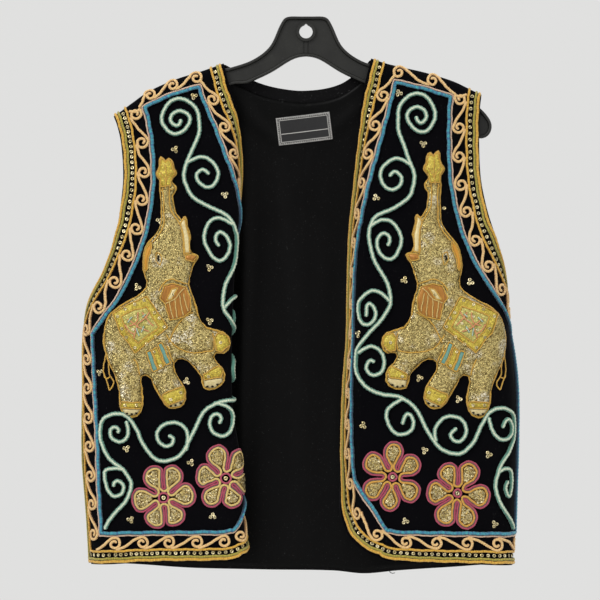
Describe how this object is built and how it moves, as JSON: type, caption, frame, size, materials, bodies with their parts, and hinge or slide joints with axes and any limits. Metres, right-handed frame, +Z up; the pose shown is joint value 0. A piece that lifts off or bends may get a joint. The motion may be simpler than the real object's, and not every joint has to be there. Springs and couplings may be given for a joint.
{
  "type": "embroidered waistcoat on a plastic hanger",
  "caption": "Sleeveless open-fronted waistcoat with padded applique and couched cord borders, hung on a moulded hanger.",
  "frame": {"origin": "centre of the hole in the hanger's head, where the part is held", "axes": "+Z up, the embroidered fronts face -Y, +X is the wearer's left"},
  "size_m": [0.5109, 0.0697, 0.6497],
  "materials": {
    "plastic": "satin black",
    "velvet": "black velvet",
    "back_cloth": "plain black cloth",
    "satin": "black satin",
    "woven_label": "woven, blank",
    "gold_cord": "twisted cord",
    "blue_cord": "twisted cord",
    "mint_cord": "variegated cord",
    "sequin_cloth": "metallic sequins over padding",
    "flower_cord": "couched cords and sequins"
  },
  "bodies": {
    "root": {"hanger": "plastic", "front_left": "velvet", "front_right": "velvet", "back": "back_cloth", "back_lining": "satin", "label": "woven_label", "edging_left": "gold_cord", "edging_right": "gold_cord", "frame_left": "blue_cord", "frame_right": "blue_cord", "vine_left": "mint_cord", "vine_right": "mint_cord", "elephant_left": "sequin_cloth", "elephant_right": "sequin_cloth", "flower_inner_left": "flower_cord", "flower_inner_right": "flower_cord", "flower_outer_left": "flower_cord", "flower_outer_right": "flower_cord"}
  },
  "joints": []
}
